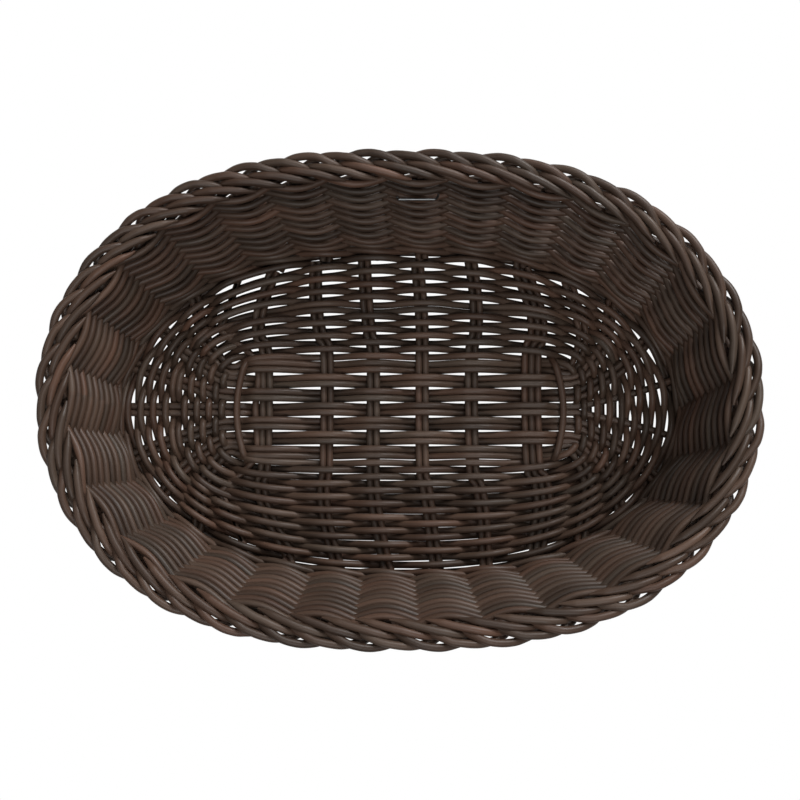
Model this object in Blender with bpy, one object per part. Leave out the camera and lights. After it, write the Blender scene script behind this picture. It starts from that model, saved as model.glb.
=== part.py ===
"""Oval bread basket woven from round plastic strands over paired stakes.

The base is a crossing of seven long pairs and six short groups of sticks, with woven rows
around it. Paired stakes turn up from the base edge, side rows are woven round them, and a
rolled border closes the top. Lengths are in metres, the table is at Z = 0.
"""
import math

import bmesh
import bpy
from mathutils import Vector

# Driving sizes
STRAND = 0.0030          # diameter of one strand
GAP = 0.0003             # clearance between neighbouring pieces
STAKES = 29              # upright stakes round the side
BASE_Z = 0.0050          # middle of the base sticks
HEIGHT = 0.0700          # table to the top of the border
WOVEN = 0.0026           # thickness of a woven piece
LIFT = (STRAND + WOVEN) / 2 + GAP

# Ovals, each as half length, half width and corner power
CORE = (0.0835, 0.0275, 6.0)
BASE_EDGE = (0.1250, 0.0722, 2.4)
STAKE_START = (0.1253, 0.0725, 2.4)
FOOT_OUTSIDE = (0.1340, 0.0810, 2.4)
KNEE = (0.1325, 0.0795, 2.4)
SIDE_TOP = (0.1395, 0.0935, 2.3)
OUTER_ROLL = (0.1465, 0.1005, 2.3)
INNER_PLAIT = (0.1395, 0.0935, 2.3)

# Base: long pairs run along X, short groups run along Y
LONG_PITCH = 0.0067
FAN_PITCH = 0.0077       # their pitch where they fan out past the last short group
SHORT_X = (-0.0620, -0.0340, -0.0120, 0.0105, 0.0335, 0.0620)
SHORT_STRANDS = (3, 2, 2, 2, 2, 3)
STICK_ROOM = 0.0014      # how far a woven piece stays level past the edge of a stick
TURN_DOWN = 0.0735       # where the long pairs are back in the middle of the base
BOW_X = 0.0768
BOW_HALF = 0.0200
BASE_ROWS = 4
ROW_START = 0.06         # the first base row starts here between the crossing and the edge
CORNER_START = 0.57      # corner sticks start this far from the crossing to the edge
STICK_END = 0.93         # and all sticks stop here, just short of the stakes

# Side
SIDE_ROWS = 6
SIDE_LOW = 0.0085
SIDE_HIGH = 0.0598
SIDE_LEAN = math.radians(20)
SIDE_OFFSET = STRAND / 2 / math.cos(SIDE_LEAN) + 2 * GAP + WOVEN / 2
BEND = 0.0030            # reach of the stake's bend before and after the knee
FAR_SHIFT = 0.30         # how far the far stakes sit round, in stake spacings

# Border, as sizes of the two rolled rings
BORDER_STEPS = 58
BORDER_SIDES = 8
OUTER_RADII = (0.0035, 0.0047)
INNER_RADII = (0.0032, 0.0042)

# Wire clip on the inside of the far side
CLIP_X = 0.0070
CLIP_Z = 0.0535
CLIP_HALF = 0.0080
CLIP_WIRE = 0.0010
CLIP_LEFT_LEG = 0.0020
CLIP_RIGHT_LEG = 0.0050

OVAL_STEPS = 1440

DARK_BROWN = (0.050, 0.036, 0.027)
RED_BROWN = (0.075, 0.045, 0.034)
GREY_BROWN = (0.062, 0.052, 0.043)
WIRE_GREY = (0.35, 0.36, 0.36)


def clear_scene():
    for thing in list(bpy.data.objects):
        bpy.data.objects.remove(thing, do_unlink=True)


def plastic(name, colour, roughness=0.5, metallic=0.0):
    material = bpy.data.materials.new(name)
    material.use_nodes = True
    shader = material.node_tree.nodes["Principled BSDF"]
    shader.inputs["Base Color"].default_value = (*colour, 1.0)
    shader.inputs["Roughness"].default_value = roughness
    shader.inputs["Metallic"].default_value = metallic
    material.diffuse_color = (*colour, 1.0)
    return material


# Ovals: places are given as a share of the way round, from the left end over the near side

def mix(low, high, amount):
    return tuple(a + (b - a) * amount for a, b in zip(low, high))


def oval(half_x, half_y, power):
    """Points of a rounded oval and the running length at each of them."""
    points = []
    for step in range(OVAL_STEPS + 1):
        angle = math.pi + 2 * math.pi * step / OVAL_STEPS
        direction = Vector((math.cos(angle), math.sin(angle), 0))
        reach = (abs(direction.x) / half_x) ** power + (abs(direction.y) / half_y) ** power
        points.append(direction * reach ** (-1 / power))
    lengths = [0.0]
    for first, second in zip(points, points[1:]):
        lengths.append(lengths[-1] + (second - first).length)
    return points, lengths


def place_on(shape, share):
    """Point and outward direction at a share of the way round an oval."""
    points, lengths = oval_of(shape)
    wanted = (share % 1.0) * lengths[-1]
    low, high = 0, OVAL_STEPS
    while high - low > 1:
        middle = (low + high) // 2
        if lengths[middle] <= wanted:
            low = middle
        else:
            high = middle
    point = points[low].lerp(points[high], (wanted - lengths[low]) / (lengths[high] - lengths[low]))
    half_x, half_y, power = shape
    slope_x = math.copysign(abs(point.x / half_x) ** (power - 1) / half_x, point.x)
    slope_y = math.copysign(abs(point.y / half_y) ** (power - 1) / half_y, point.y)
    return point, Vector((slope_x, slope_y, 0)).normalized()


KNOWN_OVALS = {}


def oval_of(shape):
    if shape not in KNOWN_OVALS:
        KNOWN_OVALS[shape] = oval(*shape)
    return KNOWN_OVALS[shape]


def nearest_share(shape, x, y):
    points, lengths = oval_of(shape)
    target = Vector((x, y, 0))
    best = min(range(OVAL_STEPS), key=lambda step: (points[step] - target).length)
    return lengths[best] / lengths[-1]


def perimeter(shape):
    return oval_of(shape)[1][-1]


def stake_share(number):
    """Stakes are evenly spaced, apart from a slight drift along the far side."""
    share = (number % STAKES) / STAKES
    if share > 0.5:
        share += FAR_SHIFT / STAKES * math.sin(2 * math.pi * (share - 0.5))
    return share


# Solids

def loft(name, stations, material, closed):
    """One solid through a run of sections, each a loop of points."""
    shape = bmesh.new()
    rings = [[shape.verts.new(point) for point in section] for section in stations]
    following = rings[1:] + rings[:1] if closed else rings[1:]
    for ring, following_ring in zip(rings, following):
        for corner in range(len(ring)):
            beside = (corner + 1) % len(ring)
            shape.faces.new((ring[corner], ring[beside], following_ring[beside], following_ring[corner]))
    if not closed:
        shape.faces.new(rings[0])
        shape.faces.new(rings[-1])
    bmesh.ops.recalc_face_normals(shape, faces=shape.faces)
    mesh = bpy.data.meshes.new(name)
    shape.to_mesh(mesh)
    shape.free()
    mesh.materials.append(material)
    thing = bpy.data.objects.new(name, mesh)
    bpy.context.collection.objects.link(thing)
    return thing


def rectangle(centre, across, up, width, thickness):
    """Corners of a section from its centre, its two directions and its sizes."""
    side, rise = across * width / 2, up * thickness / 2
    return [centre - side - rise, centre + side - rise, centre + side + rise, centre - side + rise]


def flat_band(name, path, width, thickness, material):
    """A flat run of strands side by side along a path that keeps its width level."""
    stations = []
    for number, point in enumerate(path):
        before = path[max(number - 1, 0)]
        after = path[min(number + 1, len(path) - 1)]
        along = after - before
        across = Vector((-along.y, along.x, 0)).normalized()
        stations.append(rectangle(point, across, Vector((0, 0, 1)), width, thickness))
    return loft(name, stations, material, closed=False)


# Base

def base_oval(level):
    """Oval between the crossing (0) and the base edge (1)."""
    half_x, half_y, power = mix(CORE, BASE_EDGE, level)
    return half_x, half_y, BASE_EDGE[2] + (CORE[2] - BASE_EDGE[2]) * (1 - level) ** 2


def base_point(ends, level, height=BASE_Z):
    """Point of a stick between its share of the crossing and its share of the edge."""
    core_share, edge_share = ends
    point, _ = place_on(base_oval(level), core_share + (edge_share - core_share) * level)
    return Vector((point.x, point.y, height))


def long_ends(row):
    """Shares of the left and the right end of a long pair; rows run from -3 to 3."""
    left = (nearest_share(CORE, -CORE[0], -row * FAN_PITCH), stake_share(row))
    right_stake = math.copysign(STAKES // 2 - abs(row), row)
    right_edge = stake_share(right_stake) if row else 0.5
    right = (nearest_share(CORE, CORE[0], -row * FAN_PITCH), right_edge)
    return left, right


def short_ends(group):
    """Shares of the near and the far end of a short group."""
    x = SHORT_X[group]
    number = 5 + group
    near = (nearest_share(CORE, x, -CORE[1]), stake_share(number))
    far = (nearest_share(CORE, x, CORE[1]), stake_share(-number))
    return near, far


def corner_ends(side):
    """Shares of a corner stick at the left end; side is 1 for near and -1 for far."""
    return nearest_share(CORE, -CORE[0], -side * CORE[1]), stake_share(4 * side)


def base_sticks(level):
    """Shares and strand counts of the sticks that cross the base oval at a level."""
    sticks = []
    for row in range(-3, 4):
        sticks += [(ends, 2) for ends in long_ends(row)]
    for group, strands in enumerate(SHORT_STRANDS):
        sticks += [(ends, strands) for ends in short_ends(group)]
    if level > CORNER_START - 0.05:
        sticks += [(corner_ends(side), 2) for side in (-1, 1)]
    return sorted(sticks, key=lambda stick: stick[0][0] + (stick[0][1] - stick[0][0]) * level)


def make_long_pair(row, material):
    """Two long sticks side by side, over one short group and under the next."""
    left, right = long_ends(row)
    y = -row * LONG_PITCH
    levels = (STICK_END, 0.75, 0.5, 0.25, 0.04)
    path = [base_point(left, level) for level in levels]
    path.append(Vector((-TURN_DOWN, y, BASE_Z)))
    for group, x in enumerate(SHORT_X):
        lift = LIFT if (row + group) % 2 else -LIFT
        half = SHORT_STRANDS[group] * STRAND / 2 + STICK_ROOM
        path.append(Vector((x - half, y, BASE_Z + lift)))
        path.append(Vector((x + half, y, BASE_Z + lift)))
    path.append(Vector((TURN_DOWN, y, BASE_Z)))
    path += [base_point(right, level) for level in reversed(levels)]
    flat_band(f"base_long_pair_{row + 4}", path, 2 * STRAND, WOVEN, material)


def make_short_group(group, material):
    """Short sticks side by side, flat in the middle of the base."""
    near, far = short_ends(group)
    levels = (STICK_END, 0.66, 0.33, 0.0)
    path = [base_point(near, level) for level in levels]
    path += [base_point(far, level) for level in reversed(levels)]
    width = SHORT_STRANDS[group] * STRAND
    flat_band(f"base_short_group_{group + 1}", path, width, WOVEN, material)


def make_corner_stick(side, name, material):
    path = [base_point(corner_ends(side), level) for level in (CORNER_START, 0.75, STICK_END)]
    flat_band(name, path, 2 * STRAND, WOVEN, material)


def make_bow(side, name, material):
    """One strand that binds the ends of the long pairs from above."""
    height = BASE_Z + LIFT
    path = [Vector((side * BOW_X, y, height)) for y in (-BOW_HALF, 0, BOW_HALF)]
    flat_band(name, path, WOVEN, WOVEN, material)


def make_base_row(number, material):
    """A ring of weaving that goes over one stick end and under the next."""
    depth = (1 - ROW_START) / BASE_ROWS
    inner_level = ROW_START + number * depth
    outer_level = inner_level + depth - 2 * GAP / (BASE_EDGE[0] - CORE[0])
    inner_oval, outer_oval = base_oval(inner_level), base_oval(outer_level)
    stations = []
    for place, ((core_share, edge_share), strands) in enumerate(base_sticks(inner_level)):
        height = BASE_Z + (LIFT if (place + number) % 2 else -LIFT)
        half = strands * STRAND / 2 + STICK_ROOM
        turn = edge_share - core_share
        for side in (-1, 1):
            inner_share = core_share + turn * inner_level + side * half / perimeter(inner_oval)
            outer_share = core_share + turn * outer_level + side * half / perimeter(outer_oval)
            inner, _ = place_on(inner_oval, inner_share)
            outer, _ = place_on(outer_oval, outer_share)
            low, high = height - WOVEN / 2, height + WOVEN / 2
            stations.append([Vector((inner.x, inner.y, low)), Vector((outer.x, outer.y, low)),
                             Vector((outer.x, outer.y, high)), Vector((inner.x, inner.y, high))])
    loft(f"base_row_{number + 1}", stations, material, closed=True)


def make_foot(material):
    """The flat ring that the basket stands on, under the bend of the stakes."""
    stations = []
    top = BASE_Z - STRAND / 2 - GAP
    for step in range(2 * STAKES):
        inner, _ = place_on(STAKE_START, step / (2 * STAKES))
        outer, _ = place_on(FOOT_OUTSIDE, step / (2 * STAKES))
        stations.append([Vector((inner.x, inner.y, 0)), Vector((outer.x, outer.y, 0)),
                         Vector((outer.x, outer.y, top)), Vector((inner.x, inner.y, top))])
    loft("foot_ring", stations, material, closed=True)


# Side

def side_oval(height):
    """Oval of the middle of the side at a height."""
    return mix(KNEE, SIDE_TOP, (height - BASE_Z) / (SIDE_HIGH - BASE_Z))


def make_stake(number, material):
    """A pair of strands that leaves the base edge and turns up the side."""
    share = stake_share(number)
    start, outward = place_on(STAKE_START, share)
    knee, _ = place_on(KNEE, share)
    top, _ = place_on(SIDE_TOP, share)
    start.z, knee.z, top.z = BASE_Z, BASE_Z, SIDE_HIGH
    flat, rising = (knee - start).normalized(), (top - knee).normalized()
    path = [start, knee - flat * BEND, knee.lerp((start + top) / 2, 0.03), knee + rising * BEND, top]
    directions = [flat, flat, (flat + rising).normalized(), rising, rising]
    tangent = Vector((-outward.y, outward.x, 0))
    stations = []
    for point, direction in zip(path, directions):
        stations.append(rectangle(point, tangent, tangent.cross(direction), 2 * STRAND, WOVEN))
    loft(f"stake_{number + 1:02d}", stations, material, closed=False)


def make_side_row(number, material):
    """A ring of weaving that passes inside one stake and outside the next."""
    pitch = (SIDE_HIGH - SIDE_LOW) / SIDE_ROWS
    low = SIDE_LOW + number * pitch
    high = low + pitch - GAP
    half = STRAND + STICK_ROOM
    stations = []
    for stake in range(STAKES):
        offset = SIDE_OFFSET if (stake + number) % 2 else -SIDE_OFFSET
        for side in (-1, 1):
            section = []
            for height, depth in ((low, -1), (low, 1), (high, 1), (high, -1)):
                shape = side_oval(height)
                point, outward = place_on(shape, stake_share(stake) + side * half / perimeter(shape))
                point += outward * (offset + depth * WOVEN / 2)
                section.append(Vector((point.x, point.y, height)))
            stations.append(section)
    loft(f"side_row_{number + 1}", stations, material, closed=True)


# Border and clip

def make_border(name, shape, radii, top, material):
    """A rolled ring with a rounded section."""
    radial, upright = radii
    stations = []
    for step in range(BORDER_STEPS):
        centre, outward = place_on(shape, step / BORDER_STEPS)
        section = []
        for corner in range(BORDER_SIDES):
            angle = 2 * math.pi * corner / BORDER_SIDES
            point = centre + outward * radial * math.cos(angle)
            section.append(Vector((point.x, point.y, top - upright + upright * math.sin(angle))))
        stations.append(section)
    ring = loft(name, stations, material, closed=True)
    ring.data.shade_smooth()


def make_clip(material):
    """A bent wire that lies flat against the inside of the far side."""
    shape = side_oval(CLIP_Z)
    share = nearest_share(shape, CLIP_X, shape[1])
    centre, outward = place_on(shape, share)
    above, _ = place_on(side_oval(CLIP_Z + CLIP_RIGHT_LEG), share)
    centre.z, above.z = CLIP_Z, CLIP_Z + CLIP_RIGHT_LEG
    rising = (above - centre).normalized()
    right = Vector((outward.y, -outward.x, 0))
    inward = right.cross(rising)
    if inward.dot(outward) > 0:
        inward = -inward
    start = centre + inward * (SIDE_OFFSET + WOVEN / 2 + 2 * GAP)
    outline = ((-CLIP_HALF, 0), (CLIP_HALF, 0), (CLIP_HALF, CLIP_RIGHT_LEG),
               (CLIP_HALF - CLIP_WIRE, CLIP_RIGHT_LEG), (CLIP_HALF - CLIP_WIRE, CLIP_WIRE),
               (CLIP_WIRE - CLIP_HALF, CLIP_WIRE), (CLIP_WIRE - CLIP_HALF, CLIP_LEFT_LEG),
               (-CLIP_HALF, CLIP_LEFT_LEG))
    back = [start + right * across + rising * up for across, up in outline]
    front = [point + inward * CLIP_WIRE for point in back]
    loft("wire_clip", [back, front], material, closed=False)


clear_scene()
dark = plastic("dark_brown_plastic", DARK_BROWN)
red = plastic("red_brown_plastic", RED_BROWN)
grey = plastic("grey_brown_plastic", GREY_BROWN)
wire = plastic("wire_grey", WIRE_GREY, roughness=0.35, metallic=1.0)

for row in range(-3, 4):
    make_long_pair(row, grey)
for group in range(len(SHORT_X)):
    make_short_group(group, dark)
make_corner_stick(1, "base_corner_stick_near", dark)
make_corner_stick(-1, "base_corner_stick_far", dark)
make_bow(-1, "end_bow_left", red)
make_bow(1, "end_bow_right", red)
for number in range(BASE_ROWS):
    make_base_row(number, red)
make_foot(dark)
for number in range(STAKES):
    make_stake(number, dark)
for number in range(SIDE_ROWS):
    make_side_row(number, red)
make_border("border_outer_roll", OUTER_ROLL, OUTER_RADII, HEIGHT, grey)
make_border("border_inner_plait", INNER_PLAIT, INNER_RADII, HEIGHT - GAP, red)
make_clip(wire)
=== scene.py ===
import math

import bpy
import numpy as np
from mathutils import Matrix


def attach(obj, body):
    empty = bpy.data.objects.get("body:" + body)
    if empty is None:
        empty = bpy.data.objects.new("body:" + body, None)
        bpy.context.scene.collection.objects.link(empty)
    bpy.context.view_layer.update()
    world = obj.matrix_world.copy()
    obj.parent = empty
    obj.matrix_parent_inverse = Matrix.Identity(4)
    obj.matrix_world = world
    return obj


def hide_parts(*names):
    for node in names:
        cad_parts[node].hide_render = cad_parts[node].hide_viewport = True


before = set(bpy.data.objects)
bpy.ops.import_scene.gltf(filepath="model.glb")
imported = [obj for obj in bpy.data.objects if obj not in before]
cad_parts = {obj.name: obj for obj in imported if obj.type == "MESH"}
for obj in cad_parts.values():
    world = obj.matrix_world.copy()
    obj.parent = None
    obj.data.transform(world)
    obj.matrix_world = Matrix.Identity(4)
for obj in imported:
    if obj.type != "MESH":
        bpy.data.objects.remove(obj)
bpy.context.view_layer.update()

# ---------------------------------------------------------------------------------------------
# Camera: stands over the basket, a little towards the near side, and looks down into it from
# less than half a metre, so the border looks larger than the base.
camera_data = bpy.data.cameras.new("camera")
camera_data.lens = 48.9
camera_data.sensor_width = 36.0
camera_data.clip_start = 0.01
camera = bpy.data.objects.new("camera", camera_data)
bpy.context.collection.objects.link(camera)
camera_distance = 0.447
camera_tilt = math.radians(6.4)
camera_aim = (0.0, -0.0024, 0.0665)
camera.location = (camera_aim[0], camera_aim[1] - camera_distance * math.sin(camera_tilt),
                   camera_aim[2] + camera_distance * math.cos(camera_tilt))
camera.rotation_euler = (camera_tilt, 0, 0)
bpy.context.scene.camera = camera

# ---------------------------------------------------------------------------------------------
# Floor and light: a white table, seen pure white as on a light box so that the gaps of the weave
# stay white, with large soft lights above and the strongest at the far right.
bpy.context.scene.view_settings.view_transform = "Standard"
floor_size = 6.0
floor_mesh = bpy.data.meshes.new("table")
floor_mesh.from_pydata([(-floor_size, -floor_size, 0), (floor_size, -floor_size, 0),
                        (floor_size, floor_size, 0), (-floor_size, floor_size, 0)], [], [(0, 1, 2, 3)])
floor = bpy.data.objects.new("table", floor_mesh)
bpy.context.collection.objects.link(floor)
table_white = bpy.data.materials.new("table_white")
table_white.use_nodes = True
table_nodes = table_white.node_tree.nodes
table_shader = table_nodes["Principled BSDF"]
table_shader.inputs["Base Color"].default_value = (0.55, 0.55, 0.55, 1)
table_shader.inputs["Roughness"].default_value = 0.9
table_shader.inputs["Specular IOR Level"].default_value = 0.2
table_glow = table_nodes.new("ShaderNodeEmission")
table_sight = table_nodes.new("ShaderNodeLightPath")
table_choice = table_nodes.new("ShaderNodeMixShader")
table_link = table_white.node_tree.links.new
table_link(table_sight.outputs["Is Camera Ray"], table_choice.inputs[0])
table_link(table_shader.outputs[0], table_choice.inputs[1])
table_link(table_glow.outputs[0], table_choice.inputs[2])
table_link(table_choice.outputs[0], table_nodes["Material Output"].inputs["Surface"])
floor_mesh.materials.append(table_white)


def soft_light(name, place, size, power):
    """A square area light that points at the basket."""
    lamp = bpy.data.lights.new(name, "AREA")
    lamp.shape = "SQUARE"
    lamp.size = size
    lamp.energy = power
    thing = bpy.data.objects.new(name, lamp)
    bpy.context.collection.objects.link(thing)
    thing.location = place
    thing.rotation_euler = (-thing.location).to_track_quat("-Z", "Y").to_euler()


soft_light("light_over", (0.1, 0.4, 1.5), 0.9, 5)
soft_light("light_far", (0.6, 0.95, 0.75), 0.6, 18.5)
soft_light("light_left", (-1.3, -0.2, 1.0), 0.9, 2)
soft_light("light_near", (0.2, -1.0, 1.5), 0.9, 14)

world = bpy.data.worlds.new("studio")
world.use_nodes = True
world.node_tree.nodes["Background"].inputs["Color"].default_value = (1, 1, 1, 1)
seen_by = world.node_tree.nodes.new("ShaderNodeLightPath")
sky = world.node_tree.nodes.new("ShaderNodeMath")
sky.operation = "MAXIMUM"
sky.inputs[1].default_value = 0.09
world.node_tree.links.new(seen_by.outputs["Is Camera Ray"], sky.inputs[0])
world.node_tree.links.new(sky.outputs["Value"], world.node_tree.nodes["Background"].inputs["Strength"])
bpy.context.scene.world = world

# ---------------------------------------------------------------------------------------------
# Short base sticks: round plastic strands that lie side by side across the base, in groups of
# two and three, straight through the crossing, and fan out to the base edge. Nothing is glued:
# the long sticks and the rows woven over and under them hold them in place.
strand = 0.0032
beside = 0.00158
base_height = 0.0050
stake_count = 29
far_shift = (0.30, 0.47)      # in stake spacings, at the base and at the border
core_oval = (0.0830, 0.0252, 6.0)
edge_oval = (0.1285, 0.0740, 2.45)
end_ease = 0.36
oval_steps = 1440
sample = 0.0014
known_ovals = {}


def oval(shape):
    """Points round an oval of half length, half width and corner power, lengths and directions out.

    The corners are a little rounder towards the two ends, by end_ease."""
    key = tuple(round(value, 7) for value in shape)
    if key not in known_ovals:
        half_x, half_y, power = shape
        angle = math.pi + np.linspace(0, 2 * math.pi, oval_steps + 1)
        across, up = np.abs(np.cos(angle)) / half_x, np.abs(np.sin(angle)) / half_y
        bend = power - end_ease * across ** 2 / (across ** 2 + up ** 2)
        reach = (across ** bend + up ** bend) ** (-1 / bend)
        points = np.stack([reach * np.cos(angle), reach * np.sin(angle)], axis=1)
        steps = np.hypot(*np.diff(points, axis=0).T)
        round_trip = np.concatenate([points[-2:-1], points, points[1:2]])
        along = round_trip[2:] - round_trip[:-2]
        out = np.stack([along[:, 1], -along[:, 0]], axis=1) / np.hypot(*along.T)[:, None]
        known_ovals[key] = points, np.concatenate([[0], np.cumsum(steps)]), out
    return known_ovals[key]


def walk(shape, shares):
    """Points and outward directions at shares of the way round, from the left end by the near side."""
    points, lengths, out = oval(shape)
    wanted = (np.asarray(shares, float) % 1.0) * lengths[-1]
    place = np.stack([np.interp(wanted, lengths, points[:, axis]) for axis in (0, 1)], axis=-1)
    outward = np.stack([np.interp(wanted, lengths, out[:, axis]) for axis in (0, 1)], axis=-1)
    return place, outward


def girth_of(shape):
    return oval(shape)[1][-1]


def nearest_share(shape, x, y):
    points, lengths, _ = oval(shape)
    best = int(np.argmin(np.hypot(points[:-1, 0] - x, points[:-1, 1] - y)))
    return lengths[best] / lengths[-1]


def stake_share(number, rise=0.0):
    """Stakes are evenly spaced, apart from a drift along the far side that grows up to the border."""
    share = (number % stake_count) / stake_count
    at_base = math.sin(2 * math.pi * max(share - 0.5, 0))
    at_border = math.sin(math.pi / 2 * max(min((share - 0.25) / 0.5, (1 - share) / 0.25), 0)) ** 2
    drift = far_shift[0] * at_base * (1 - rise) + far_shift[1] * at_border * rise
    return share + drift / stake_count


def base_oval(level):
    """Oval between the crossing (0) and the base edge (1)."""
    half_x = core_oval[0] + (edge_oval[0] - core_oval[0]) * level
    half_y = core_oval[1] + (edge_oval[1] - core_oval[1]) * level
    return half_x, half_y, edge_oval[2] + (core_oval[2] - edge_oval[2]) * (1 - min(level, 1)) ** 2


def radial_point(ends, level):
    """Point of a stick between its share of the crossing and its share of the base edge."""
    core_share, edge_share = ends
    point, _ = walk(base_oval(level), core_share + (edge_share - core_share) * level)
    return point


def smooth_path(points, spacing=sample):
    """A smooth curve through a few points, sampled evenly."""
    points = np.asarray(points, float)
    padded = np.concatenate([[2 * points[0] - points[1]], points, [2 * points[-1] - points[-2]]])
    pieces = []
    for a, b, c, d in zip(padded, padded[1:], padded[2:], padded[3:]):
        t = np.linspace(0, 1, 25)[:-1, None]
        pieces.append(0.5 * (2 * b + (c - a) * t + (2 * a - 5 * b + 4 * c - d) * t ** 2
                             + (3 * b - a - 3 * c + d) * t ** 3))
    pieces.append(points[-1:])
    dense = np.concatenate(pieces)
    run = np.concatenate([[0], np.cumsum(np.linalg.norm(np.diff(dense, axis=0), axis=1))])
    even = np.linspace(0, run[-1], max(int(run[-1] / spacing), 3) + 1)
    return np.stack([np.interp(even, run, dense[:, axis]) for axis in range(dense.shape[1])], axis=1)


def side_step(path, amount):
    """The path moved sideways in plan, to the left of its own direction."""
    along = np.gradient(path[:, :2], axis=0)
    along /= np.linalg.norm(along, axis=1)[:, None]
    moved = path.copy()
    moved[:, 0] -= along[:, 1] * amount
    moved[:, 1] += along[:, 0] * amount
    return moved


def round_strand_tree():
    """Turns lines into round strands: the sweep that every woven piece shares."""
    tree = bpy.data.node_groups.new("round_strand", "GeometryNodeTree")
    for name, kind in (("Lines", "Geometry"), ("Diameter", "Float"), ("Sides", "Int"),
                       ("Plastic", "Material")):
        tree.interface.new_socket(name, in_out="INPUT", socket_type=f"NodeSocket{kind}")
    tree.interface.new_socket("Strands", in_out="OUTPUT", socket_type="NodeSocketGeometry")
    nodes, link = tree.nodes, tree.links.new
    given = nodes.new("NodeGroupInput")
    curve = nodes.new("GeometryNodeMeshToCurve")
    girth = nodes.new("GeometryNodeInputNamedAttribute")
    girth.data_type = "FLOAT"
    girth.inputs["Name"].default_value = "girth"
    half = nodes.new("ShaderNodeMath")
    half.operation = "MULTIPLY"
    half.inputs[1].default_value = 0.5
    circle = nodes.new("GeometryNodeCurvePrimitiveCircle")
    place = nodes.new("GeometryNodeInputPosition")
    store = nodes.new("GeometryNodeStoreNamedAttribute")
    store.data_type = "FLOAT_VECTOR"
    store.domain = "POINT"
    store.inputs["Name"].default_value = "ring"
    sweep = nodes.new("GeometryNodeCurveToMesh")
    sweep.inputs["Fill Caps"].default_value = True
    smooth = nodes.new("GeometryNodeSetShadeSmooth")
    realize = nodes.new("GeometryNodeRealizeInstances")
    finish = nodes.new("GeometryNodeSetMaterial")
    result = nodes.new("NodeGroupOutput")
    link(given.outputs["Lines"], curve.inputs["Mesh"])
    link(given.outputs["Diameter"], half.inputs[0])
    link(given.outputs["Sides"], circle.inputs["Resolution"])
    link(half.outputs[0], circle.inputs["Radius"])
    link(circle.outputs["Curve"], store.inputs["Geometry"])
    link(place.outputs["Position"], store.inputs["Value"])
    link(curve.outputs["Curve"], sweep.inputs["Curve"])
    link(store.outputs["Geometry"], sweep.inputs["Profile Curve"])
    link(girth.outputs["Attribute"], sweep.inputs["Scale"])
    link(sweep.outputs["Mesh"], smooth.inputs["Geometry"])
    link(smooth.outputs["Geometry"], realize.inputs["Geometry"])
    link(realize.outputs["Geometry"], finish.inputs["Geometry"])
    link(given.outputs["Plastic"], finish.inputs["Material"])
    link(finish.outputs["Geometry"], result.inputs["Strands"])
    return tree


round_strand = round_strand_tree()


def woven_piece(name, strands, plastic, nodes, sides=10, diameter=strand):
    """One finished piece from its strands, each a (path, closed, shade, girth) tuple."""
    points, edges, run, shades, girths = [], [], [], [], []
    for path, closed, shade, thickness in strands:
        first = len(points)
        count = len(path)
        steps = np.linalg.norm(np.diff(path, axis=0), axis=1)
        run += list(np.concatenate([[0], np.cumsum(steps)]))
        points += [tuple(point) for point in path]
        edges += [(first + at, first + at + 1) for at in range(count - 1)]
        if closed:
            edges.append((first + count - 1, first))
        shades += [shade] * count
        girths += list(thickness) if thickness is not None else [1.0] * count
    lines = bpy.data.meshes.new(name + "_lines")
    lines.from_pydata(points, edges, [])
    for label, values in (("run", run), ("shade", shades), ("girth", girths)):
        lines.attributes.new(label, "FLOAT", "POINT").data.foreach_set("value", np.array(values, np.float32))
    piece = bpy.data.objects.new(name, lines)
    bpy.context.collection.objects.link(piece)
    sweep = piece.modifiers.new("round_strand", "NODES")
    sweep.node_group = round_strand
    settings = {"Diameter": diameter, "Sides": sides, "Plastic": plastic}
    for item in round_strand.interface.items_tree:
        if item.in_out == "INPUT" and item.name in settings:
            sweep[item.identifier] = settings[item.name]
    bpy.context.view_layer.update()
    evaluated = piece.evaluated_get(bpy.context.evaluated_depsgraph_get())
    solid = bpy.data.meshes.new_from_object(evaluated)
    solid.name = name
    piece.modifiers.clear()
    piece.data = solid
    bpy.data.meshes.remove(lines)
    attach(piece, "root")
    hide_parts(*nodes)


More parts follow.
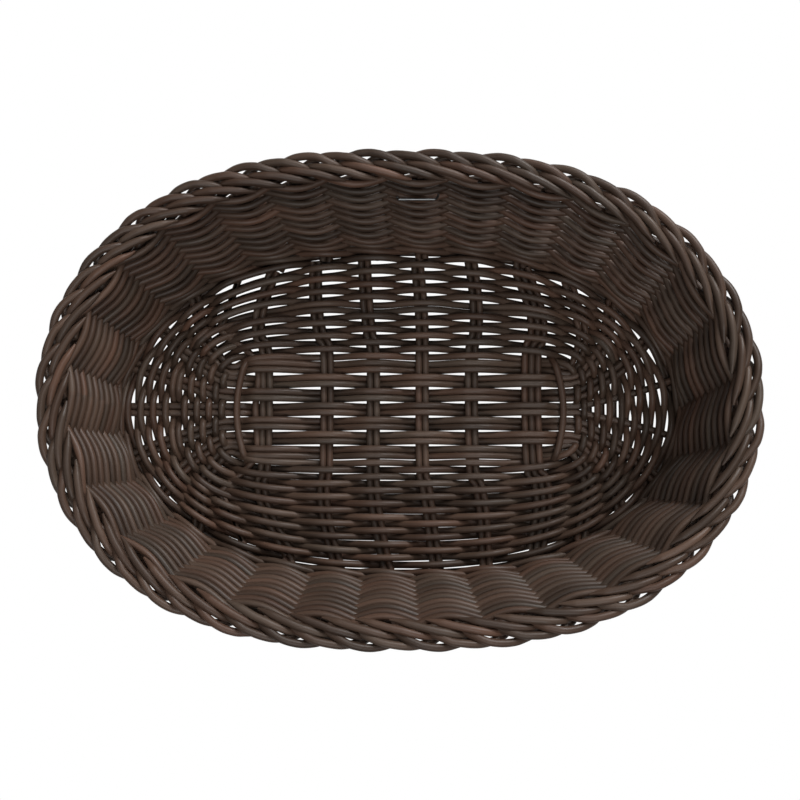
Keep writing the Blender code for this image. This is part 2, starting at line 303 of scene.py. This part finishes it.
def strand_finish_group():
    """Colour, roughness and height along a plastic strand: lengthwise streaks and slow tone drift."""
    group = bpy.data.node_groups.new("strand_finish", "ShaderNodeTree")
    for name in ("Dark", "Red", "Grey"):
        group.interface.new_socket(name, in_out="INPUT", socket_type="NodeSocketColor")
    for name in ("Streak", "Drift", "Gloss"):
        group.interface.new_socket(name, in_out="INPUT", socket_type="NodeSocketFloat")
    group.interface.new_socket("Colour", in_out="OUTPUT", socket_type="NodeSocketColor")
    group.interface.new_socket("Roughness", in_out="OUTPUT", socket_type="NodeSocketFloat")
    group.interface.new_socket("Height", in_out="OUTPUT", socket_type="NodeSocketFloat")
    nodes, link = group.nodes, group.links.new

    def attribute(name, output):
        node = nodes.new("ShaderNodeAttribute")
        node.attribute_name = name
        return node.outputs[output]

    def maths(operation, first, second):
        node = nodes.new("ShaderNodeMath")
        node.operation = operation
        for socket, value in zip(node.inputs, (first, second)):
            if isinstance(value, (int, float)):
                socket.default_value = value
            else:
                link(value, socket)
        return node.outputs[0]

    def noise(vector, scale, detail):
        node = nodes.new("ShaderNodeTexNoise")
        node.inputs["Scale"].default_value = scale
        node.inputs["Detail"].default_value = detail
        link(vector, node.inputs["Vector"])
        return node.outputs["Fac"]

    def spread(value, low, high):
        node = nodes.new("ShaderNodeMapRange")
        node.inputs["From Min"].default_value = low
        node.inputs["From Max"].default_value = high
        link(value, node.inputs["Value"])
        return node.outputs["Result"]

    def blend(kind, amount, first, second):
        node = nodes.new("ShaderNodeMix")
        node.data_type = "RGBA"
        node.blend_type = kind
        for socket, value in ((node.inputs[0], amount), (node.inputs[6], first), (node.inputs[7], second)):
            link(value, socket)
        return node.outputs[2]

    given = nodes.new("NodeGroupInput")
    result = nodes.new("NodeGroupOutput")
    shade, run, ring = attribute("shade", "Fac"), attribute("run", "Fac"), attribute("ring", "Vector")
    along = nodes.new("ShaderNodeCombineXYZ")
    link(maths("MULTIPLY", run, 16.0), along.inputs["X"])
    link(maths("MULTIPLY", shade, 91.0), along.inputs["Y"])
    drift = spread(noise(along.outputs[0], 1.0, 2.0), 0.3, 0.7)
    other = nodes.new("ShaderNodeCombineXYZ")
    link(maths("MULTIPLY", run, 9.0), other.inputs["X"])
    link(maths("MULTIPLY", shade, 57.0), other.inputs["Y"])
    warmth = spread(noise(other.outputs[0], 1.0, 1.0), 0.35, 0.65)
    parts = nodes.new("ShaderNodeSeparateXYZ")
    link(ring, parts.inputs[0])
    streaky = nodes.new("ShaderNodeCombineXYZ")
    link(maths("MULTIPLY", parts.outputs["X"], 1500.0), streaky.inputs["X"])
    link(maths("MULTIPLY", parts.outputs["Y"], 1500.0), streaky.inputs["Y"])
    link(maths("ADD", maths("MULTIPLY", run, 40.0), maths("MULTIPLY", shade, 33.0)), streaky.inputs["Z"])
    streak = spread(noise(streaky.outputs[0], 1.0, 3.0), 0.25, 0.75)
    tinted = blend("MIX", warmth, given.outputs["Grey"], given.outputs["Red"])
    toned = blend("MIX", maths("MULTIPLY", drift, given.outputs["Drift"]), given.outputs["Dark"], tinted)
    pale = nodes.new("ShaderNodeCombineXYZ")
    own = maths("MULTIPLY", maths("SUBTRACT", shade, 0.5), 0.45)
    light = maths("ADD", maths("MULTIPLY", maths("SUBTRACT", streak, 0.5), given.outputs["Streak"]),
                  maths("ADD", own, 1.0))
    for axis in "XYZ":
        link(light, pale.inputs[axis])
    coloured = nodes.new("ShaderNodeMix")
    coloured.data_type = "RGBA"
    coloured.blend_type = "MULTIPLY"
    coloured.inputs[0].default_value = 1.0
    link(toned, coloured.inputs[6])
    link(pale.outputs[0], coloured.inputs[7])
    link(coloured.outputs[2], result.inputs["Colour"])
    rough = maths("ADD", given.outputs["Gloss"], maths("MULTIPLY", streak, 0.12))
    link(rough, result.inputs["Roughness"])
    link(streak, result.inputs["Height"])
    return group


strand_finish = strand_finish_group()


def strand_plastic(name, dark, red, grey):
    """Satin plastic in three browns, with drawn streaks."""
    material = bpy.data.materials.new(name)
    material.use_nodes = True
    nodes, link = material.node_tree.nodes, material.node_tree.links.new
    shader = nodes["Principled BSDF"]
    finish = nodes.new("ShaderNodeGroup")
    finish.node_tree = strand_finish
    for socket, value in (("Dark", dark), ("Red", red), ("Grey", grey)):
        finish.inputs[socket].default_value = (*value, 1)
    for socket, value in (("Streak", 0.35), ("Drift", 1.0), ("Gloss", 0.40)):
        finish.inputs[socket].default_value = value
    shader.inputs["Specular IOR Level"].default_value = 0.27
    relief = nodes.new("ShaderNodeBump")
    relief.inputs["Strength"].default_value = 0.35
    relief.inputs["Distance"].default_value = 0.0001
    link(finish.outputs["Colour"], shader.inputs["Base Color"])
    link(finish.outputs["Roughness"], shader.inputs["Roughness"])
    link(finish.outputs["Height"], relief.inputs["Height"])
    link(relief.outputs["Normal"], shader.inputs["Normal"])
    return material


draw = np.random.default_rng(7)
dark_brown = (0.038, 0.0235, 0.0160)
red_brown = (0.096, 0.050, 0.033)
grey_brown = (0.070, 0.050, 0.037)
stick_plastic = strand_plastic("stick_plastic", dark_brown, red_brown, grey_brown)

short_x = (-0.0645, -0.0343, -0.0126, 0.0105, 0.0338, 0.0620)
far_lean = (0.0035, 0.0050, 0.0045, 0.0025, 0.0, 0.0)     # how far the far ends run to the left
short_strands = (3, 2, 2, 2, 2, 3)
stick_levels = (0.95, 0.8, 0.6, 0.4, 0.2, 0.0)


def short_ends(group, side):
    """Core and edge share of a short group's end; side is 1 for near and -1 for far."""
    return nearest_share(core_oval, short_x[group], -side * core_oval[1]), stake_share(side * (5 + group))


def corner_ends(side):
    return nearest_share(core_oval, -core_oval[0], -side * core_oval[1]) - side * 0.004, stake_share(side * 4)


def flat_path(plan_points):
    return smooth_path([(x, y, base_height) for x, y in plan_points])


for group, count in enumerate(short_strands):
    near, far = short_ends(group, 1), short_ends(group, -1)
    plan = [radial_point(near, level) for level in stick_levels]
    plan += [radial_point(far, level) - np.array([far_lean[group] * level, 0])
             for level in reversed(stick_levels)]
    middle = flat_path(plan)
    strands = []
    for number in range(count):
        offset = (number - (count - 1) / 2) * 2 * beside
        path = side_step(middle, offset)
        if group == 0 and number == count - 1:
            leaving = [radial_point(corner_ends(1), level) for level in (0.95, 0.8, 0.6, 0.42)]
            arriving = [radial_point(corner_ends(-1), level) for level in (0.42, 0.6, 0.8, 0.95)]
            beside_group = [(short_x[0] - offset - beside, y) for y in (-0.022, 0.0, 0.022)]
            path = side_step(flat_path(leaving + beside_group + arriving), -beside)
        strands.append((path, False, draw.random(), None))
    woven_piece(f"short_sticks_{group + 1}", strands, stick_plastic,
                [f"base_short_group_{group + 1}"])

# ---------------------------------------------------------------------------------------------
# Corner sticks: one more round plastic strand pushed in at each left corner, where the rows
# spread apart. The rows that pass over and under it hold it.
for side, word in ((1, "near"), (-1, "far")):
    path = flat_path([radial_point(corner_ends(side), level) for level in (0.50, 0.65, 0.8, 0.95)])
    strands = [(side_step(path, side * beside), False, draw.random(), None)]
    woven_piece(f"corner_stick_{word}", strands, stick_plastic, [f"base_corner_stick_{word}"])

# ---------------------------------------------------------------------------------------------
# Long base sticks: pairs of strands that run the length of the base, over one short group and
# under the next, then fan out at both ends. They are the same round plastic strand as the short
# sticks, and the two lock each other at the crossing.
long_pitch = 0.0067
fan_pitch = 0.0072
lift = 0.00322
turn_down = 0.0735


def over_under(at, centres, halves, lifts):
    """Heights of a strand that lies level over each centre and eases from one to the next."""
    centres, halves = np.asarray(centres), np.asarray(halves)
    knots = np.stack([centres - halves, centres + halves], axis=1).ravel()
    heights = np.repeat(np.asarray(lifts, float), 2)
    place = np.clip(np.searchsorted(knots, at) - 1, 0, len(knots) - 2)
    ease = np.clip((at - knots[place]) / (knots[place + 1] - knots[place]), 0, 1)
    ease = (1 - np.cos(np.pi * ease)) / 2
    return heights[place] * (1 - ease) + heights[place + 1] * ease


def level_half(count):
    return 0.0018 + 0.0015 * (count - 2)


def long_end(row, side, edge_share):
    """Core and edge share of a long pair's end; side is -1 for left and 1 for right."""
    return nearest_share(core_oval, side * core_oval[0], -row * fan_pitch), edge_share


def right_stake(row):
    return math.copysign(stake_count // 2 - abs(row), row)


for row in range(-3, 4):
    y = -row * long_pitch
    strands = []
    for side in (-1, 1):
        stake = right_stake(row) if row else -side * (stake_count // 2)
        left = long_end(row, -1, stake_share(row))
        right = long_end(row, 1, stake_share(stake))
        plan = [radial_point(left, level) for level in stick_levels]
        plan += [(x, y) for x in (-0.068, -0.040, 0.0, 0.040, 0.068)]
        plan += [radial_point(right, level) for level in reversed(stick_levels)]
        path = side_step(flat_path(plan), side * beside)
        centres = [-turn_down - 0.001, *short_x, turn_down + 0.001]
        halves = [0.0005, *[level_half(count) for count in short_strands], 0.0005]
        lifts = [0, *[lift if (row + group) % 2 else -lift for group in range(len(short_x))], 0]
        path[:, 2] += over_under(path[:, 0], centres, halves, lifts)
        strands.append((path, False, draw.random(), None))
    woven_piece(f"long_sticks_{row + 4}", strands, stick_plastic,
                [f"base_long_pair_{row + 4}"])

# ---------------------------------------------------------------------------------------------
# End bows: one round plastic strand laid across the long pairs at each end of the crossing, held
# by its two ends, which are tucked under the outermost pairs.
weave_plastic = strand_plastic("weave_plastic", dark_brown, red_brown, grey_brown)
for side, word in ((-1, "left"), (1, "right")):
    points = []
    for y in np.linspace(-0.0255, 0.0255, 11):
        reach = 0.0707 + 0.0052 * (1 - (y / 0.0255) ** 2)
        height = base_height + (lift if abs(y) < 0.022 else -lift * 0.7)
        points.append((side * reach, y, height))
    strands = [(smooth_path(points), False, draw.random(), None)]
    woven_piece(f"bow_{word}", strands, weave_plastic, [f"end_bow_{word}"])

# ---------------------------------------------------------------------------------------------
# Base rows: single round plastic strands woven over one group of sticks and under the next. Each
# row goes the other way from the row inside it, and the rows are pushed tight together.
row_count = 16
last_level = 0.955


def sticks_across(level):
    """Shares and level half-widths of the stick groups under a row, starting at the far left corner."""
    sticks = [(long_end(row, -1, stake_share(row)), 2) for row in range(-3, 4)]
    for row in range(-3, 4):
        if row:
            sticks.append((long_end(row, 1, stake_share(right_stake(row))), 2))
        elif level < 0.45:
            sticks.append(((0.5, 0.5), 2))
        else:
            sticks += [((0.5, stake_share(side * (stake_count // 2))), 1) for side in (-1, 1)]
    for group, count in enumerate(short_strands):
        sticks += [(short_ends(group, side), count) for side in (-1, 1)]
    if level > 0.45:
        sticks += [(corner_ends(side), 2) for side in (-1, 1)]
    before_corner = [core + (edge - core) * level for core, edge in (short_ends(0, -1), corner_ends(-1))]
    start = sum(before_corner) / 2
    found = []
    for (core_share, edge_share), count in sticks:
        share = core_share + (edge_share - core_share) * level
        found.append(((share - start) % 1.0 + start - 1, level_half(count)))
    return sorted(found)


def base_row(row):
    """One closed strand round the base."""
    level = last_level * row / (row_count - 1) + draw.uniform(-0.003, 0.003)
    shape = base_oval(level)
    girth = girth_of(shape)
    found = sticks_across(level)
    shares = np.linspace(found[0][0], found[0][0] + 1, int(girth / sample), endpoint=False)
    centres = [share for share, _ in found] + [found[0][0] + 1]
    halves = [half / girth for _, half in found] + [found[0][1] / girth]
    lifts = [lift if (place + row) % 2 else -lift for place in range(len(found))]
    lifts.append(lifts[0])
    plan, outward = walk(shape, shares)
    plan += outward * (0.00012 * np.sin(2 * np.pi * (shares * 11 + draw.random())))[:, None]
    height = base_height + over_under(shares, centres, halves, lifts)
    return np.column_stack([plan, height]), True, draw.random(), None


rows_made = [base_row(row) for row in range(row_count)]
row_groups = ((0, 4), (4, 8), (8, 12), (12, row_count))
for number, (first, last) in enumerate(row_groups):
    woven_piece(f"base_rows_{number + 1}", rows_made[first:last], weave_plastic,
                [f"base_row_{number + 1}"])

# ---------------------------------------------------------------------------------------------
# Foot: two round plastic strands laid round under the bend of the stakes. The basket stands on
# them, and the lowest side row binds them to the stakes.
foot_strands = []
for half_x, half_y in ((0.1292, 0.0757), (0.1324, 0.0789)):
    shape = (half_x, half_y, 2.4)
    plan, _ = walk(shape, np.linspace(0, 1, int(girth_of(shape) / sample), endpoint=False))
    foot_strands.append((np.column_stack([plan, np.full(len(plan), 0.00162)]), True, draw.random(), None))
woven_piece("foot_strands", foot_strands, weave_plastic, ["foot_ring"])

# ---------------------------------------------------------------------------------------------
# Stakes: pairs of round plastic strands that leave the base edge, bend up and lean outwards to
# the border. They are pushed in beside the base sticks and held by the rows round them.
stake_plastic = strand_plastic("stake_plastic", dark_brown, red_brown, grey_brown)
knee_oval = (0.1327, 0.0796, 2.45)
top_oval = (0.1395, 0.0935, 2.48)
side_low, side_high = 0.0050, 0.0598
stake_top = 0.0600


def side_oval(height):
    """Oval of the middle of the side at a height."""
    amount = (height - side_low) / (side_high - side_low)
    return tuple(low + (high - low) * amount for low, high in zip(knee_oval, top_oval))


def core_share_of(number):
    """Where the stick that leads to a stake leaves the crossing."""
    side = 1 if number > 0 else -1
    if abs(number) <= 3:
        return long_end(number, -1, 0)[0]
    if abs(number) == 4:
        return corner_ends(side)[0]
    if abs(number) <= 10:
        return short_ends(abs(number) - 5, side)[0]
    row = (stake_count // 2 - abs(number)) * side
    return long_end(row, 1, 0)[0]


for stake in range(stake_count):
    number = stake if stake <= stake_count // 2 else stake - stake_count
    share = stake_share(number)
    ends = (core_share_of(number), share)
    if abs(ends[0] - ends[1]) > 0.5:
        ends = (ends[0] - 1, ends[1])
    points = [(*radial_point(ends, level), base_height) for level in (0.95, 1.0)]
    for amount, height in ((0.72, 0.0056), (1.03, 0.0088)):
        shape = tuple(low + (high - low) * amount for low, high in zip(edge_oval, knee_oval))
        points.append((*walk(shape, share)[0], height))
    for height in (0.016, 0.030, 0.046, stake_top):
        points.append((*walk(side_oval(height), stake_share(number, height / stake_top))[0], height))
    middle = smooth_path(points, 0.0020)
    strands = [(side_step(middle, side * beside), False, draw.random(), None) for side in (-1, 1)]
    woven_piece(f"stake_pair_{stake + 1:02d}", strands, stake_plastic, [f"stake_{stake + 1:02d}"])

# ---------------------------------------------------------------------------------------------
# Side rows: two strands at a time, one inside and one outside of each stake pair, which swap
# places and cross between the stakes. With an odd number of stakes one strand goes round twice.
side_plastic = strand_plastic("side_plastic", dark_brown, red_brown, grey_brown)
first_row, last_row, rows_up = 0.0128, 0.0618, 9
inward = 0.0034
cross_rise = 0.0008
side_lean = (top_oval[0] - knee_oval[0]) / (side_high - side_low)


def side_row(shape, height, lean):
    """One row at an oval and a height; lean is how far the stakes are from upright there, in radians."""
    count = int(2 * girth_of(shape) / sample)
    turns = np.linspace(0, 2 * stake_count, count, endpoint=False)
    places = [stake_share(stake, height / stake_top) for stake in range(stake_count)] + [1.0]
    shares = np.interp(turns % stake_count, np.arange(stake_count + 1), places)
    plan, outward = walk(shape, shares)
    depth = -inward * np.cos(np.pi * turns)
    rise = cross_rise * np.sin(np.pi * turns) + 0.00015 * np.sin(2 * np.pi * (shares * 5 + draw.random()))
    out = depth * math.cos(lean) + rise * math.sin(lean)
    up = rise * math.cos(lean) - depth * math.sin(lean)
    return np.column_stack([plan + outward * out[:, None], height + up]), True, draw.random(), None


foot_bend = ((0.0053, math.radians(72), 0.40), (0.0082, math.radians(42), 1.00))
side_made = []
for height, lean, amount in foot_bend:
    shape = tuple(low + (high - low) * amount for low, high in zip(edge_oval, knee_oval))
    side_made.append(side_row(shape, height, lean))
for row in range(rows_up):
    height = first_row + (last_row - first_row) * row / (rows_up - 1)
    side_made.append(side_row(side_oval(height), height, math.atan(side_lean)))
side_groups = ((0, 2), (2, 4), (4, 6), (6, 8), (8, 10), (10, 11))
for number, (first, last) in enumerate(side_groups):
    woven_piece(f"side_rows_{number + 1}", side_made[first:last], side_plastic,
                [f"side_row_{number + 1}"])

# ---------------------------------------------------------------------------------------------
# Border: each stake strand runs out under the edge, along the outside in a flat arc, in over the
# top, under its neighbours, and over the top once more; its cut end is tapered and lies inside.
border_plastic = strand_plastic("border_plastic", dark_brown, red_brown, grey_brown)
border_oval = (0.1488, 0.1028, 2.48)
border_top = 0.0700
border_strand_width = 0.0033
notch_after_stake = (1.73, 2.73)     # where its two strands turn in over the top, in half stake spacings
stake_part = (
    # half spacings past the stake, millimetres in from the outer edge, millimetres below the top
    ((0.00, 9.0, 10.4), (0.11, 7.9, 9.2), (0.28, 5.6, 8.1), (0.48, 3.3, 6.9)),
    ((0.00, 9.0, 10.4), (0.14, 8.4, 9.3), (0.60, 7.8, 8.5), (1.00, 6.2, 8.1), (1.38, 3.8, 7.0)))
over_part = (
    # half spacings past the turn, millimetres in from the outer edge, millimetres below the top
    (-1.00, 1.9, 5.3), (-0.75, 1.0, 4.4), (-0.50, 0.6, 3.4), (-0.25, 0.8, 2.5), (0.00, 1.35, 1.85),
    (0.25, 2.2, 1.65), (0.55, 3.9, 2.2), (0.78, 5.3, 3.4), (1.00, 6.6, 5.6), (1.35, 6.4, 7.4),
    (1.65, 5.2, 7.3), (1.84, 4.3, 5.8), (2.05, 4.8, 3.6), (2.45, 6.2, 1.95), (2.75, 7.3, 1.75),
    (3.10, 8.5, 2.1), (3.50, 9.9, 2.9), (3.85, 10.9, 4.0), (4.05, 11.3, 4.6))
millimetre = 0.001
places_at_top = [stake_share(stake, 1.0) for stake in range(stake_count)] + [1.0]


def border_strand(stake, twin):
    """One strand of the border, from the top of its stake to its tapered end."""
    turn = notch_after_stake[twin]
    route = [(along - turn, inwards, below) for along, inwards, below in stake_part[twin]]
    for along, inwards, below in over_part:
        bulge = 0.45 * math.exp(-((along + 0.1) / 0.6) ** 2) * (1 if twin else -1)
        route.append((along + draw.uniform(-0.03, 0.03), inwards - bulge, below))
    route = np.array(route)
    along = np.interp(route[:, 0] + turn, [-2, 8], [stake + 1.0, stake - 4.0])    # clockwise
    lengthwise = girth_of(border_oval) / stake_count
    bent = smooth_path(np.column_stack([along * lengthwise, route[:, 1:] * millimetre]), 0.0008)
    places = bent[:, 0] / lengthwise
    shares = np.interp(places % stake_count, np.arange(stake_count + 1), places_at_top)
    plan, outward = walk(border_oval, shares)
    path = np.column_stack([plan - outward * bent[:, 1:2], border_top - bent[:, 2]])
    reach = np.concatenate([[0], np.cumsum(np.linalg.norm(np.diff(path, axis=0), axis=1))])
    thickness = np.clip(0.22 + (reach[-1] - reach) / 0.0085, 0.22, 1.0) ** 0.8
    return path, False, draw.random(), thickness


border_strands = [border_strand(stake, twin) for stake in range(stake_count) for twin in (0, 1)]
woven_piece("border_strands", border_strands, border_plastic,
            ["border_outer_roll", "border_inner_plait"], diameter=border_strand_width)

# ---------------------------------------------------------------------------------------------
# Wire clip: a short bent piece of grey steel wire against the inside of the far side, with one
# end turned up. It is pushed in between two side rows, which hold it.
clip_steel = bpy.data.materials.new("clip_steel")
clip_steel.use_nodes = True
clip_shader = clip_steel.node_tree.nodes["Principled BSDF"]
clip_shader.inputs["Metallic"].default_value = 1.0
clip_tone = clip_steel.node_tree.nodes.new("ShaderNodeTexNoise")
clip_tone.inputs["Scale"].default_value = 900.0
clip_place = clip_steel.node_tree.nodes.new("ShaderNodeTexCoord")
clip_ramp = clip_steel.node_tree.nodes.new("ShaderNodeMapRange")
clip_ramp.inputs["To Min"].default_value = 0.28
clip_ramp.inputs["To Max"].default_value = 0.45
clip_steel.node_tree.links.new(clip_place.outputs["Object"], clip_tone.inputs["Vector"])
clip_steel.node_tree.links.new(clip_tone.outputs["Fac"], clip_ramp.inputs["Value"])
clip_steel.node_tree.links.new(clip_ramp.outputs["Result"], clip_shader.inputs["Roughness"])
clip_shader.inputs["Base Color"].default_value = (0.20, 0.21, 0.215, 1)
clip_height = 0.0535
clip_points = []
for x, up in ((-0.0012, 0.0018), (-0.0010, 0.0003), (0.0, 0.0), (0.0050, 0.0), (0.0100, 0.0),
              (0.0146, 0.0), (0.0157, 0.0006), (0.0166, 0.0038)):
    shape = side_oval(clip_height + up)
    clip_points.append((x, shape[1] - inward - strand / 2 - 0.0006, clip_height + up))
woven_piece("wire_clip_round", [(smooth_path(clip_points, 0.0005), False, 0.5, None)], clip_steel,
            ["wire_clip"], sides=8, diameter=0.0010)
